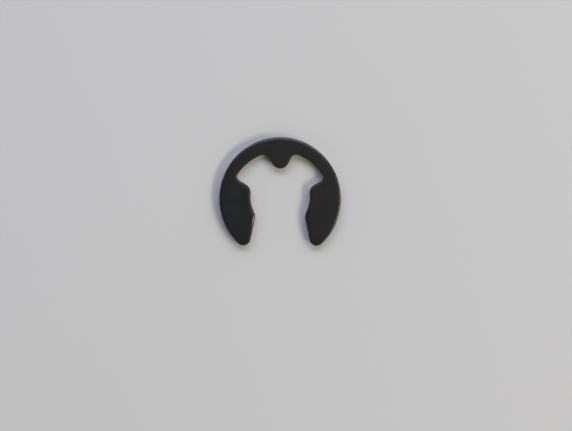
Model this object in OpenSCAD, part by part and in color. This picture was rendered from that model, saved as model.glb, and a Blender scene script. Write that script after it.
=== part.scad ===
/* [Plate] */
// Thickness of the spring steel sheet
thickness = 1.2; // [0.8:0.05:1.6]
// Width over which the upper edge is rolled down as the blank is punched
roll_w = 0.5; // [0.1:0.01:0.55]
// Depth of the rolled edge at the wall
roll_d = 0.25; // [0.05:0.01:0.3]
// Height and width of the broken lower edge
edge_break = 0.05; // [0.02:0.01:0.12]

/* [Seat] */
// Diameter of the groove that the clip grips
seat_d = 10; // [8:0.1:12]

/* [Outside] */
// Width of the clip from the seat's circle out to the crown
crown_w = 5.1; // [4.3:0.05:6]
// How much larger the arm's outside radius is than the crown's
arm_flat = 0.4; // [0:0.05:1]
// Angle above the cross axis at which the crown runs into the arm
arm_from = 45; // [20:1:70]
// Rounding of each arm's free end
tip_r = 1.2; // [0.8:0.05:1.6]

/* [Mouth] */
// How far each nose stands in past the seat's side, to be snapped over the groove
nose_catch = 0.8; // [0.5:0.05:1]
// Rounding of each nose
nose_r = 1.2; // [0.7:0.05:1.6]
// Straight run from the seat to the nose
nose_run = 1.3; // [0.6:0.05:1.6]
// Flare of the mouth from the noses out to the free ends
mouth_angle = 12; // [4:0.5:18]

/* [Shoulders] */
// Angle above the cross axis at which the seat turns into the shoulder
shoulder_at = 6.5; // [3:0.5:10]
// Rounding of the shoulder's inner corner
shoulder_r = 1.55; // [1:0.05:1.8]
// Rise of the shoulder's upper edge toward the slot's end
shoulder_rise = 30; // [20:1:36]
// Rounding of the slot's outer end
slot_r = 0.85; // [0.6:0.05:1]

/* [Bow] */
// Width of the bow at the crown, behind the tongue
bow_w = 2.35; // [2:0.05:2.8]
// Distance of the inner edge's centre below the seat's axis, which thins the bow toward the slots' ends
bow_drop = 0.8; // [0.6:0.05:1.2]

/* [Tongue] */
// How far the tongue's tip stands in past the seat's circle, to press on the groove
tongue_proud = 0.08; // [0:0.01:0.3]
// Rounding of the tongue's tip
tongue_r = 1.5; // [1.2:0.05:1.8]
// Lean of each flank of the tongue
tongue_angle = 26.5; // [18:0.5:32]
// Rounding between the tongue and the bow
root_r = 1; // [0.7:0.05:1.2]

/* [Hidden] */
$fn = 96;
// Farthest that a facet of the rim falls inside its arc
sag = 0.003;
// Facets across the rolled edge
roll_steps = 5;
// Width of the strip that the edge shares with the flat inside it
edge_lap = 0.1;
// Stock left on the two seats for the finishing cut
seat_stock = 0.02;
// How far a cut runs past what it cuts
over = 1;
// Angle by which the seat's cut runs past both ends of a seat
seat_over = 6;
// Points of the rim closer than this are one point
one_point = 0.00001;

seat_r = seat_d / 2;
raw_seat_r = seat_r - seat_stock;
crown_r = seat_r + crown_w;
arm_r = crown_r + arm_flat;
bow_r = crown_r - bow_w + bow_drop;
nose_x = seat_r - nose_catch + nose_r;

function unit(angle) = [cos(angle), sin(angle)];
function heading(v) = atan2(v.y, v.x);

// Centre of a rounding of radius r inside a ring, found along a line that starts within the ring
function tucked(ring_c, ring_r, r, start, along) =
    let (s = start - ring_c, b = s * along)
    start + (sqrt(b * b - s * s + pow(ring_r - r, 2)) - b) * along;

// A stretch of the rim: centre, radius, first and last angle, and how an inset changes the radius
function convex(c, r, from, to) = [c, r, from, to, -1];
function concave(c, r, from, to) = [c, r, from, to, 1];

axis = [0, 0];
arm_c = -arm_flat * unit(arm_from);
nose_c = [nose_x, -sqrt(pow(raw_seat_r + nose_r, 2) + pow(nose_run, 2) - pow(nose_x, 2))];
tip_line = nose_c + (nose_r - tip_r) * unit(180 + mouth_angle);
tip_c = tucked(arm_c, arm_r, tip_r, tip_line, unit(mouth_angle - 90));
seat_from = heading(nose_c) + atan(nose_run / (raw_seat_r + nose_r));
shoulder_c = (raw_seat_r + shoulder_r) * unit(shoulder_at);
bow_c = [0, -bow_drop];
slot_line = shoulder_c + (shoulder_r + slot_r) * unit(shoulder_rise + 90);
slot_c = tucked(bow_c, bow_r, slot_r, slot_line, unit(shoulder_rise));
tongue_c = [0, seat_r - tongue_proud + tongue_r];
root_line = tongue_c + (tongue_r + root_r) * unit(-tongue_angle);
root_c = tucked(bow_c, bow_r, root_r, root_line, unit(90 - tongue_angle));
tip_from = heading(tip_c - arm_c);
slot_to = heading(slot_c - bow_c);
root_from = heading(root_c - bow_c);

// Right half of the rim, from the crown down the arm, in at the mouth and up to the tongue's tip.
// Each stretch leaves in the direction in which the next one starts, and the gaps are straight.
half_rim = [
    convex(axis, crown_r, 90, arm_from),
    convex(arm_c, arm_r, arm_from, tip_from),
    convex(tip_c, tip_r, tip_from, mouth_angle - 180),
    convex(nose_c, nose_r, 180 + mouth_angle, 180 + seat_from),
    concave(axis, raw_seat_r, seat_from, shoulder_at),
    convex(shoulder_c, shoulder_r, 180 + shoulder_at, 90 + shoulder_rise),
    concave(slot_c, slot_r, shoulder_rise - 90, slot_to),
    concave(bow_c, bow_r, slot_to, root_from),
    concave(root_c, root_r, root_from, 180 - tongue_angle),
    convex(tongue_c, tongue_r, -tongue_angle, -90)
];

function facets(arc) = ceil(abs(arc[3] - arc[2]) / (2 * acos(1 - sag / arc[1])));
function arc_points(arc, inset) =
    let (n = facets(arc), r = arc[1] + arc[4] * inset)
    [for (i = [0 : n]) arc[0] + r * unit(arc[2] + (arc[3] - arc[2]) * i / n)];
function distinct(p) = [for (i = [0 : len(p) - 1]) if (i == 0 || norm(p[i] - p[i - 1]) > one_point) p[i]];

// The whole rim, clockwise from above, drawn in from its edge by an inset
function rim(inset) =
    let (right = distinct([for (arc = half_rim) each arc_points(arc, inset)]))
    concat(right, [for (i = [len(right) - 2 : -1 : 1]) [-right[i].x, right[i].y]]);

// Inset and height of each level of the plate's edge, from the broken lower edge to the rolled upper one
edge_levels = concat(
    [[edge_break, 0], [0, edge_break]],
    [for (i = [0 : roll_steps])
        let (a = 90 * i / roll_steps)
        [roll_w * (1 - cos(a)), thickness - roll_d * (1 - sin(a))]]
);

// The flat of the plate, inside the rolled edge
module flat() {
    linear_extrude(thickness)
        polygon(rim(roll_w + edge_lap / 2));
}

// The edge all round the flat: the rim carried through the edge's levels and back down the flat's side
module edge() {
    inner = roll_w + edge_lap;
    levels = concat([[inner, 0]], edge_levels, [[inner, thickness]]);
    n = len(rim(0));
    m = len(levels);
    polyhedron(
        points = [for (level = levels) each [for (p = rim(level[0])) [p.x, p.y, level[1]]]],
        faces = [for (k = [0 : m - 1]) for (i = [0 : n - 1])
            let (next = (i + 1) % n, up = (k + 1) % m)
            [k * n + i, k * n + next, up * n + next, up * n + i]]
    );
}

// Section of the seat's cut: the groove's radius, widening into the broken and the rolled edge
module seat_section() {
    translate([0, -over])
        square([seat_r, thickness + 2 * over]);
    polygon([
        [seat_r - over, -over],
        [seat_r + edge_break + over, -over],
        [seat_r, edge_break],
        [seat_r - over, edge_break]
    ]);
    difference() {
        translate([seat_r - over, thickness - roll_d])
            square([over + roll_w, roll_d + over]);
        translate([seat_r + roll_w, thickness - roll_d])
            scale([1, roll_d / roll_w])
                circle(roll_w);
    }
}

module seat_cut() {
    rotate([0, 0, seat_from - seat_over])
        rotate_extrude(angle = shoulder_at - seat_from + 2 * seat_over)
            seat_section();
}

module e_clip() {
    color([0.16, 0.16, 0.16])
        difference() {
            union() {
                flat();
                edge();
            }
            seat_cut();
            mirror([1, 0, 0])
                seat_cut();
        }
}

e_clip();
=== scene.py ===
"""A punched spring-steel E-clip, blackened and oiled, lying flat on a pale floor."""
import math

import bmesh
import bpy
from mathutils import Matrix, Vector, noise


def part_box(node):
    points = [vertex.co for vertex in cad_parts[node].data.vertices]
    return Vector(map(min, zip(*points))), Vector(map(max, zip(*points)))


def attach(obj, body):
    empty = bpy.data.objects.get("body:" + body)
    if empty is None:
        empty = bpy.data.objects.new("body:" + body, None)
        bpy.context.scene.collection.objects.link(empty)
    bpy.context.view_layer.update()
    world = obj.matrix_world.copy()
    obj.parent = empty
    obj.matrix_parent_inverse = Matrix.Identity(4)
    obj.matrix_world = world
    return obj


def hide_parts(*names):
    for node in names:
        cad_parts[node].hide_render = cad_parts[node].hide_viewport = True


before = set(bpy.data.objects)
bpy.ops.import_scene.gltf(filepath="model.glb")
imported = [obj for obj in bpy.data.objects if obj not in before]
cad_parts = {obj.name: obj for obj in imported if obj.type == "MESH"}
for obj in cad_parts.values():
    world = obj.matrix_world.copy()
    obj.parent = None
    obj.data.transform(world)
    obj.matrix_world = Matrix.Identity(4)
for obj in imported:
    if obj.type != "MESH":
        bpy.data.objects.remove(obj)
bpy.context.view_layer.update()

# Sizes of the clip, in metres and degrees
MM = 0.001
SEAT_R = 5.0 * MM
CROWN_W = 5.1 * MM
ARM_FLAT = 0.4 * MM
ARM_FROM = 45
TIP_R = 1.2 * MM
NOSE_CATCH = 0.8 * MM
NOSE_R = 1.2 * MM
NOSE_RUN = 1.3 * MM
MOUTH_ANGLE = 12
SHOULDER_AT = 6.5
SHOULDER_R = 1.55 * MM
SHOULDER_RISE = 30
SLOT_R = 0.85 * MM
BOW_W = 2.35 * MM
BOW_DROP = 0.8 * MM
TONGUE_PROUD = 0.08 * MM
TONGUE_R = 1.5 * MM
TONGUE_ANGLE = 26.5
ROOT_R = 1.0 * MM
ROLL_WIDTH = 0.5 * MM
ROLL_DEPTH = 0.25 * MM
EDGE_BREAK = 0.05 * MM
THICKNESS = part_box("e_clip")[1].z

# The roll gets deeper near a nose: by how much at the nose's centre, and how far from there this reaches
NOSE_ROLL = 0.3 * MM
NOSE_REACH = 1.9 * MM

# The punched wall: a smooth sheared band, and below it a torn band that falls back to the lower edge. The
# tear's grain has a fractal dimension, a step between its octaves and their number, and grows to its full
# height over the first share of the band
SHEARED_FROM = 0.55 * MM
TORN_FALL = 0.02 * MM
TORN_ROUGH = 0.014 * MM
TORN_GRAIN = 0.16 * MM
TORN_FRACTAL = (1.0, 2.0, 3)
FULLY_TORN = 0.25

# Fineness of the mesh, and the distances under which two points are one
RIM_STEP = 0.06 * MM
WALL_ROWS = 12
ROLL_SEGMENTS = 10
BREAK_SEGMENTS = 2
SHARP_FROM = 35
SAME_POINT = 1e-7
SEAM_GAP = 1e-6


def unit(angle):
    """Direction in the clip's plane, at an angle in degrees from +X."""
    return Vector((math.cos(math.radians(angle)), math.sin(math.radians(angle)), 0))


def heading(v):
    """Angle in degrees of a direction in the clip's plane."""
    return math.degrees(math.atan2(v.y, v.x))


def tucked(ring_centre, ring_r, r, start, along):
    """Centre of a rounding of radius r inside a ring, found along a line that starts within the ring."""
    s = start - ring_centre
    b = s.dot(along)
    return start + (math.sqrt(b * b - s.dot(s) + (ring_r - r) ** 2) - b) * along


def nose_centre():
    """Centre of the right nose's rounding, which a straight run joins to the seat."""
    x = SEAT_R - NOSE_CATCH + NOSE_R
    y = math.sqrt((SEAT_R + NOSE_R) ** 2 + NOSE_RUN ** 2 - x ** 2)
    return Vector((x, -y, 0))


def half_rim():
    """The right half of the rim, from crown to tongue: centre, radius, first and last angle of each arc."""
    axis = Vector((0, 0, 0))
    crown_r = SEAT_R + CROWN_W
    arm_r = crown_r + ARM_FLAT
    arm = -ARM_FLAT * unit(ARM_FROM)
    nose = nose_centre()
    tip_line = nose + (NOSE_R - TIP_R) * unit(180 + MOUTH_ANGLE)
    tip = tucked(arm, arm_r, TIP_R, tip_line, unit(MOUTH_ANGLE - 90))
    seat_from = heading(nose) + math.degrees(math.atan(NOSE_RUN / (SEAT_R + NOSE_R)))
    shoulder = (SEAT_R + SHOULDER_R) * unit(SHOULDER_AT)
    bow = Vector((0, -BOW_DROP, 0))
    bow_r = crown_r - BOW_W + BOW_DROP
    slot_line = shoulder + (SHOULDER_R + SLOT_R) * unit(SHOULDER_RISE + 90)
    slot = tucked(bow, bow_r, SLOT_R, slot_line, unit(SHOULDER_RISE))
    tongue = Vector((0, SEAT_R - TONGUE_PROUD + TONGUE_R, 0))
    root_line = tongue + (TONGUE_R + ROOT_R) * unit(-TONGUE_ANGLE)
    root = tucked(bow, bow_r, ROOT_R, root_line, unit(90 - TONGUE_ANGLE))
    tip_from, slot_to, root_from = heading(tip - arm), heading(slot - bow), heading(root - bow)
    return [
        (axis, crown_r, 90, ARM_FROM),
        (arm, arm_r, ARM_FROM, tip_from),
        (tip, TIP_R, tip_from, MOUTH_ANGLE - 180),
        (nose, NOSE_R, 180 + MOUTH_ANGLE, 180 + seat_from),
        (axis, SEAT_R, seat_from, SHOULDER_AT),
        (shoulder, SHOULDER_R, 180 + SHOULDER_AT, 90 + SHOULDER_RISE),
        (slot, SLOT_R, SHOULDER_RISE - 90, slot_to),
        (bow, bow_r, slot_to, root_from),
        (root, ROOT_R, root_from, 180 - TONGUE_ANGLE),
        (tongue, TONGUE_R, -TONGUE_ANGLE, -90),
    ]


def verts_of(geom):
    return [g for g in geom if isinstance(g, bmesh.types.BMVert)]


def draw_rim(bm):
    """Spins each arc of the rim, joins them with straight runs and mirrors the half to the left."""
    end = bm.verts.new((0, SEAT_R + CROWN_W, 0))
    for centre, r, first, last in half_rim():
        run = centre + r * unit(first) - end.co
        if run.length > SAME_POINT:
            steps = math.ceil(run.length / RIM_STEP)
            line = bmesh.ops.spin(bm, geom=[end], axis=(0, 0, 1), dvec=run / steps, steps=steps)
            end = verts_of(line["geom_last"])[0]
        sweep = math.radians(last - first)
        steps = math.ceil(abs(sweep) * r / RIM_STEP)
        arc = bmesh.ops.spin(bm, geom=[end], cent=centre, axis=(0, 0, 1), angle=sweep, steps=steps)
        end = verts_of(arc["geom_last"])[0]
    bmesh.ops.mirror(bm, geom=bm.verts[:] + bm.edges[:], matrix=Matrix.Identity(4), axis="X")
    bmesh.ops.remove_doubles(bm, verts=bm.verts, dist=SEAM_GAP)


def raise_plate(bm):
    """Fills the rim and raises it to the sheet's thickness, with the punched wall cut into rows."""
    plan = bmesh.ops.contextual_create(bm, geom=bm.edges[:])["faces"]
    top = bmesh.ops.extrude_face_region(bm, geom=plan, use_keep_orig=True)["geom"]
    bmesh.ops.translate(bm, verts=verts_of(top), vec=(0, 0, THICKNESS))
    for row in range(1, WALL_ROWS):
        z = EDGE_BREAK + (THICKNESS - ROLL_WIDTH - EDGE_BREAK) * row / WALL_ROWS
        everything = bm.verts[:] + bm.edges[:] + bm.faces[:]
        bmesh.ops.bisect_plane(
            bm, geom=everything, dist=SAME_POINT, plane_co=(0, 0, z), plane_no=(0, 0, 1),
        )
    bmesh.ops.recalc_face_normals(bm, faces=bm.faces)


def round_edge(bm, z, width, segments):
    """Rounds the rim that lies at one height."""
    rim = [e for e in bm.edges if all(abs(v.co.z - z) < SAME_POINT for v in e.verts)]
    bmesh.ops.bevel(
        bm, geom=rim, offset=width, offset_type="OFFSET", segments=segments, profile=0.5,
        affect="EDGES", material=-1, clamp_overlap=True,
    )


def roll_edge(bm):
    """Rolls the upper edge over as a punch does: wider than it is deep, and deeper at the noses."""
    round_edge(bm, THICKNESS, ROLL_WIDTH, ROLL_SEGMENTS)
    nose = nose_centre()
    for v in bm.verts:
        if v.co.z > THICKNESS - ROLL_WIDTH - SAME_POINT:
            from_nose = math.hypot(abs(v.co.x) - nose.x, v.co.y - nose.y)
            depth = ROLL_DEPTH + NOSE_ROLL * max(0, 1 - (from_nose / NOSE_REACH) ** 2)
            v.co.z = THICKNESS + (v.co.z - THICKNESS) * depth / ROLL_WIDTH


def tear_wall(bm):
    """Lets the torn band fall back from the sheared band down to the lower edge, as rough as a break."""
    bm.normal_update()
    torn = [v for v in bm.verts if v.co.z < SHEARED_FROM]
    moves = []
    for v in torn:
        inward = -Vector((v.normal.x, v.normal.y, 0)).normalized()
        fall = 1 - v.co.z / SHEARED_FROM
        grain = noise.fractal(v.co / TORN_GRAIN, *TORN_FRACTAL)
        moves.append(inward * (TORN_FALL * fall + TORN_ROUGH * grain * min(1, fall / FULLY_TORN)))
    for v, move in zip(torn, moves):
        v.co += move


def make_clip(finish):
    """The clip with its rolled upper edge, torn wall and broken lower edge."""
    bm = bmesh.new()
    draw_rim(bm)
    raise_plate(bm)
    roll_edge(bm)
    round_edge(bm, 0, EDGE_BREAK, BREAK_SEGMENTS)
    tear_wall(bm)
    mesh = bpy.data.meshes.new("blackened_clip")
    bm.to_mesh(mesh)
    bm.free()
    mesh.shade_smooth()
    mesh.set_sharp_from_angle(angle=math.radians(SHARP_FROM))
    mesh.materials.append(finish)
    clip = bpy.data.objects.new("blackened_clip", mesh)
    bpy.context.scene.collection.objects.link(clip)
    return clip


class Value:
    """A number that varies over a surface: arithmetic on it adds Math nodes to its material."""

    def __init__(self, nodes, socket):
        self.nodes = nodes
        self.socket = socket

    def math(self, operation, *others):
        inputs = dict(enumerate((self,) + others))
        return self.nodes.add("ShaderNodeMath", {"operation": operation}, inputs)

    def __add__(self, other):
        return self.math("ADD", other)

    def __mul__(self, other):
        return self.math("MULTIPLY", other)

    def __sub__(self, other):
        return self.math("SUBTRACT", other)

    def __rsub__(self, other):
        return self.math("MULTIPLY", -1) + other

    def __abs__(self):
        return self.math("ABSOLUTE")

    __radd__ = __add__
    __rmul__ = __mul__


# A Mix node's sockets share their names between kinds of data: these are the places of the colours'
MIX_FACTOR, MIX_A, MIX_B = 0, 6, 7
MIX_RESULT = 2


class Nodes:
    """The nodes of one material, or of the room's light."""

    def __init__(self, owner):
        owner.use_nodes = True
        self.tree = owner.node_tree

    def add(self, kind, settings=None, inputs=None, output=0):
        """Adds a node: its settings first, then the values or links of its sockets."""
        node = self.tree.nodes.new(kind)
        for name, value in (settings or {}).items():
            setattr(node, name, value)
        self.fill(node, inputs or {})
        return Value(self, node.outputs[output])

    def fill(self, node, inputs):
        for name, value in inputs.items():
            if isinstance(value, Value):
                self.tree.links.new(value.socket, node.inputs[name])
            else:
                node.inputs[name].default_value = value

    def shader(self, name, inputs):
        """Fills the sockets of the shader that the tree came with."""
        self.fill(self.tree.nodes[name], inputs)

    def part(self, vector, axis):
        return self.add("ShaderNodeSeparateXYZ", {}, {"Vector": vector}, axis)

    def smooth(self, value, low, high):
        """0 below low, 1 above high, with a soft step between."""
        return self.add(
            "ShaderNodeMapRange", {"interpolation_type": "SMOOTHSTEP"},
            {"Value": value, "From Min": low, "From Max": high},
        )

    def noise(self, place, scale, detail=3.0, roughness=0.5):
        return self.add(
            "ShaderNodeTexNoise", {},
            {"Vector": place, "Scale": scale, "Detail": detail, "Roughness": roughness},
        )

    def drawn_out(self, place, lengths, turn=0.0):
        """A place turned about Z and drawn out along its axes, so that patterns become streaks."""
        return self.add(
            "ShaderNodeMapping", {"vector_type": "TEXTURE"},
            {"Vector": place, "Rotation": (0, 0, math.radians(turn)), "Scale": lengths},
        )

    def mix(self, factor, a, b):
        """A colour between a and b."""
        inputs = {MIX_FACTOR: factor, MIX_A: a, MIX_B: b}
        return self.add("ShaderNodeMix", {"data_type": "RGBA"}, inputs, MIX_RESULT)


def grey(level, warmth=0.0):
    """A dark tone, with a share more red and less blue."""
    return (level * (1 + warmth), level, level * (1 - warmth), 1)


# Tones of the coat, of its scratches and of the steel under it. The blue-black is also painted shade toward
# the lower left, and the brown-black is also painted light toward the upper right
BLUE_BLACK_AND_PAINTED_SHADE = grey(0.0195, -0.2)
BROWN_BLACK_AND_PAINTED_LIGHT = grey(0.035, 0.02)
PORE_BLACK = grey(0.013)
SCRATCH_GREY = grey(0.05, 0.01)
BARE_STEEL = grey(0.108)

# How fine the patterns of the finish are, in waves to the metre
CRYSTALS = 32000.0
FINE_GRAIN = 9000.0
SCRATCH_LINES = 3200.0
THIN_SPOTS = 1500.0
TEAR_WAVES = 1500.0
OIL_FILM = 420.0
SCRATCHED_PLACES = 420.0
PATCHES = 260.0

# How long the lines in the finish are for their width, and the directions of the scratches in degrees
SCRATCH_LENGTH = 40.0
ROLLING_LENGTH = 30.0
DRAG_LENGTH = 20.0
SCRATCH_TURNS = (24.0, 71.0, 140.0)

# How high the line between the bands of the wall wanders, and the softness of that line
TEAR_WANDER = 0.16 * MM
TEAR_SOFT = 0.02 * MM

# How far the coat is rubbed off the rolled edge, from 0 to about 1 in all, with a fade toward the free ends
# that is painted shade and keeps their rims dim. The outside begins at a distance from the axis, the bow
# and the free ends at a place along Y, each with a soft change between two values
WEAR_OUTSIDE = 0.84
WEAR_NOSES = 0.7
WEAR_SEATS = 0.38
WEAR_UNDER_BOW = 0.12
OUTSIDE_FROM, OUTSIDE_TO = 8.6 * MM, 9.6 * MM
BOW_FROM, BOW_TO = 3.6 * MM, 5.0 * MM
FREE_END_TO, FREE_END_FROM = -7.6 * MM, -3.0 * MM

# Painted light: the coat is painted lighter and browner toward the upper right and darker and bluer toward
# the lower left, standing in for light that falls from the right. The reach and the slope of that painted
# light
PAINTED_LIGHT_REACH = 11 * MM
PAINTED_LIGHT_SLOPE = 0.8

# Depth of the coat's and the wall's fine relief
RELIEF_DEPTH = 0.02 * MM


def scratches(f, place, turn):
    """Fine lines in one direction, where the coat has been dragged over other clips."""
    streaks = f.noise(f.drawn_out(place, (SCRATCH_LENGTH, 1.0, 1.0), turn), SCRATCH_LINES, detail=2.0)
    line = 1 - f.smooth(abs(streaks - 0.5), 0.004, 0.014)
    return line * f.smooth(f.noise(place, SCRATCHED_PLACES + turn, detail=2.0), 0.52, 0.64)


def on_roll(share):
    """Height at a share of the roll's depth below the flat."""
    return THICKNESS - share * ROLL_DEPTH


def edge_wear_and_painted_shade(f, x, y):
    """Wear along the rolled edge: strong outside and at the noses, weak at the seats, least at the bow, and
    faded toward the free ends as painted shade.
    """
    outside = f.smooth(x * x + y * y, OUTSIDE_FROM ** 2, OUTSIDE_TO ** 2)
    inside_wear = WEAR_SEATS - (WEAR_SEATS - WEAR_UNDER_BOW) * f.smooth(y, BOW_FROM, BOW_TO)
    # Painted shade: the wear fades out toward the free ends, which keeps their rims dim
    fade_to_painted_shade_at_free_ends = f.smooth(y, FREE_END_TO, FREE_END_FROM)
    nose = nose_centre()
    nose_x, nose_y = abs(x) - nose.x, y - nose.y
    at_nose = 1 - f.smooth(nose_x * nose_x + nose_y * nose_y, NOSE_R ** 2, NOSE_REACH ** 2)
    return (inside_wear * (1 - outside) + WEAR_OUTSIDE * outside) * fade_to_painted_shade_at_free_ends + WEAR_NOSES * at_nose


def blackened_steel():
    """Black phosphate on punched steel, oiled: fine crystals, blue-black to brown-black in patches and as
    painted light across the clip, worn edges with painted shade toward the free ends.
    """
    steel = bpy.data.materials.new("blackened_steel")
    f = Nodes(steel)
    place = f.add("ShaderNodeTexCoord", output="Object")
    x, y, height = f.part(place, "X"), f.part(place, "Y"), f.part(place, "Z")

    above_wall = f.smooth(height, on_roll(0.65), on_roll(0.35))
    on_flat = f.smooth(height, on_roll(0.12), on_roll(0.01))
    # Wear of the rolled edge, with painted shade where it fades toward the free ends
    rubbed_and_painted_shade = above_wall * (1 - on_flat) * edge_wear_and_painted_shade(f, x, y)
    tear_line = height + TEAR_WANDER * (f.noise(place, TEAR_WAVES) - 0.5)
    unbroken = f.smooth(tear_line, SHEARED_FROM - TEAR_SOFT, SHEARED_FROM + TEAR_SOFT)
    sheared = unbroken * (1 - above_wall)
    torn = 1 - unbroken

    patches = f.noise(place, PATCHES, detail=4.0)
    crystals = f.noise(place, CRYSTALS, detail=4.0, roughness=0.65)
    # Painted light and shade: darker and bluer toward the lower left, lighter and browner toward the upper
    # right; random patches add a smaller share
    painted_light_across = f.smooth(x + PAINTED_LIGHT_SLOPE * y, -PAINTED_LIGHT_REACH, PAINTED_LIGHT_REACH)
    painted_light_and_patches = 0.7 * painted_light_across + 0.3 * f.smooth(patches, 0.4, 0.62)
    tint = f.mix(painted_light_and_patches, BLUE_BLACK_AND_PAINTED_SHADE, BROWN_BLACK_AND_PAINTED_LIGHT)
    coat = f.mix(f.smooth(crystals, 0.35, 0.7), PORE_BLACK, tint)
    thin = f.smooth(f.noise(place, THIN_SPOTS, detail=5.0, roughness=0.65), 0.3, 0.75)
    scratched = sum(scratches(f, place, turn) for turn in SCRATCH_TURNS)
    worn = f.mix(scratched * on_flat * 0.3, coat, SCRATCH_GREY)
    colour = f.mix(rubbed_and_painted_shade * (0.4 + 0.6 * thin), worn, BARE_STEEL)

    rolled = f.noise(f.drawn_out(place, (ROLLING_LENGTH, 1.0, 1.0)), FINE_GRAIN)
    drag = f.noise(f.drawn_out(place, (1.0, 1.0, DRAG_LENGTH)), FINE_GRAIN)
    break_grain = f.noise(place, FINE_GRAIN, detail=5.0, roughness=0.7)
    coat_relief = crystals * (1 - sheared - 0.9 * rubbed_and_painted_shade) + rolled * on_flat * 0.5
    wall_relief = drag * sheared * 1.2 + break_grain * torn * 2
    relief = coat_relief + wall_relief
    bump = f.add("ShaderNodeBump", {}, {"Strength": 0.5, "Distance": RELIEF_DEPTH, "Height": relief})
    oil = f.smooth(f.noise(place, OIL_FILM), 0.42, 0.66)
    coat_roughness = 0.6 - 0.09 * oil - 0.3 * rubbed_and_painted_shade + 0.1 * (crystals - 0.5)
    f.shader("Principled BSDF", {
        "Base Color": colour,
        "Metallic": rubbed_and_painted_shade * 0.95,
        "Roughness": coat_roughness - 0.14 * sheared + 0.12 * torn,
        "Normal": bump,
        "IOR": 1.36,
    })
    return steel


FLOOR_TONE = 0.8
FLOOR_HALF = 1.5


def pale_floor():
    """A wide matt sheet under the clip."""
    matt = bpy.data.materials.new("pale_floor")
    Nodes(matt).shader("Principled BSDF", {
        "Base Color": (FLOOR_TONE, FLOOR_TONE, FLOOR_TONE, 1),
        "Roughness": 0.9,
        "IOR": 1.3,
    })
    bm = bmesh.new()
    bmesh.ops.create_grid(bm, x_segments=1, y_segments=1, size=FLOOR_HALF)
    mesh = bpy.data.meshes.new("floor")
    bm.to_mesh(mesh)
    bm.free()
    mesh.materials.append(matt)
    floor = bpy.data.objects.new("floor", mesh)
    bpy.context.scene.collection.objects.link(floor)


def soft_light(name, azimuth, elevation, distance, width, height, colour, floor_level):
    """A flat lamp aimed at the clip. A small lamp of its power would light the floor to floor_level."""
    lamp = bpy.data.lights.new(name, "AREA")
    lamp.shape = "RECTANGLE"
    lamp.size = width
    lamp.size_y = height
    lamp.color = colour
    rise = math.radians(elevation)
    lamp.energy = floor_level * math.pi ** 2 * distance ** 2 / (FLOOR_TONE * math.sin(rise))
    lamp_object = bpy.data.objects.new(name, lamp)
    away = math.cos(rise) * unit(azimuth) + Vector((0, 0, math.sin(rise)))
    lamp_object.location = distance * away
    lamp_object.rotation_euler = away.to_track_quat("Z", "Y").to_euler()
    bpy.context.scene.collection.objects.link(lamp_object)


def room(colour, strength, dark_from):
    """Light from the walls of a room, gone at the height dark_from, which is the sine of an elevation."""
    world = bpy.data.worlds.new("room")
    f = Nodes(world)
    up = f.part(f.add("ShaderNodeTexCoord", output="Generated"), "Z")
    walls = 1 - f.smooth(up, 0.0, dark_from)
    f.shader("Background", {"Color": (*colour, 1), "Strength": strength * walls})
    bpy.context.scene.world = world


# The camera looks down from a little toward the crown. At the level of the rim: the pixel that shows the
# seat's axis, the width of a pixel and the camera's distance; then its lean from upright and its turn
FRAME_W, FRAME_H = 572, 431
SEAT_PIXEL = (280.15, 197.5)
PIXEL = 0.1681 * MM
CAMERA_DISTANCE = 0.4
CAMERA_LEAN = 8
CAMERA_TURN = 0.23
CLIP_START = 0.005
SENSOR_WIDTH = 36.0


def overhead_camera():
    camera = bpy.data.cameras.new("overhead")
    camera.sensor_width = SENSOR_WIDTH
    camera.lens = SENSOR_WIDTH * CAMERA_DISTANCE / (FRAME_W * PIXEL)
    camera.clip_start = CLIP_START
    seat_x, seat_y = SEAT_PIXEL
    aside = Vector((FRAME_W / 2 - seat_x, seat_y - FRAME_H / 2, 0)) * PIXEL
    back = Matrix.Translation(aside + Vector((0, 0, CAMERA_DISTANCE)))
    lean = Matrix.Rotation(math.radians(-CAMERA_LEAN), 4, "X")
    turn = Matrix.Rotation(math.radians(CAMERA_TURN), 4, "Z")
    rim_level = Matrix.Translation((0, 0, THICKNESS - ROLL_DEPTH))
    camera_object = bpy.data.objects.new("overhead", camera)
    camera_object.matrix_world = rim_level @ turn @ lean @ back
    bpy.context.scene.collection.objects.link(camera_object)
    bpy.context.scene.camera = camera_object


clip = make_clip(blackened_steel())
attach(clip, "root")
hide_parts("e_clip")

pale_floor()
soft_light(
    "warm_low_right", azimuth=-21, elevation=34.5, distance=0.8, width=0.6, height=0.16,
    colour=(1.06, 0.96, 0.72), floor_level=0.206,
)
soft_light(
    "cool_top", azimuth=84, elevation=38, distance=1.1, width=2.0, height=0.5,
    colour=(0.93, 0.985, 1.15), floor_level=0.405,
)
room(colour=(0.995, 0.985, 1.06), strength=0.715, dark_from=0.8)
overhead_camera()
bpy.context.scene.view_settings.view_transform = "Standard"
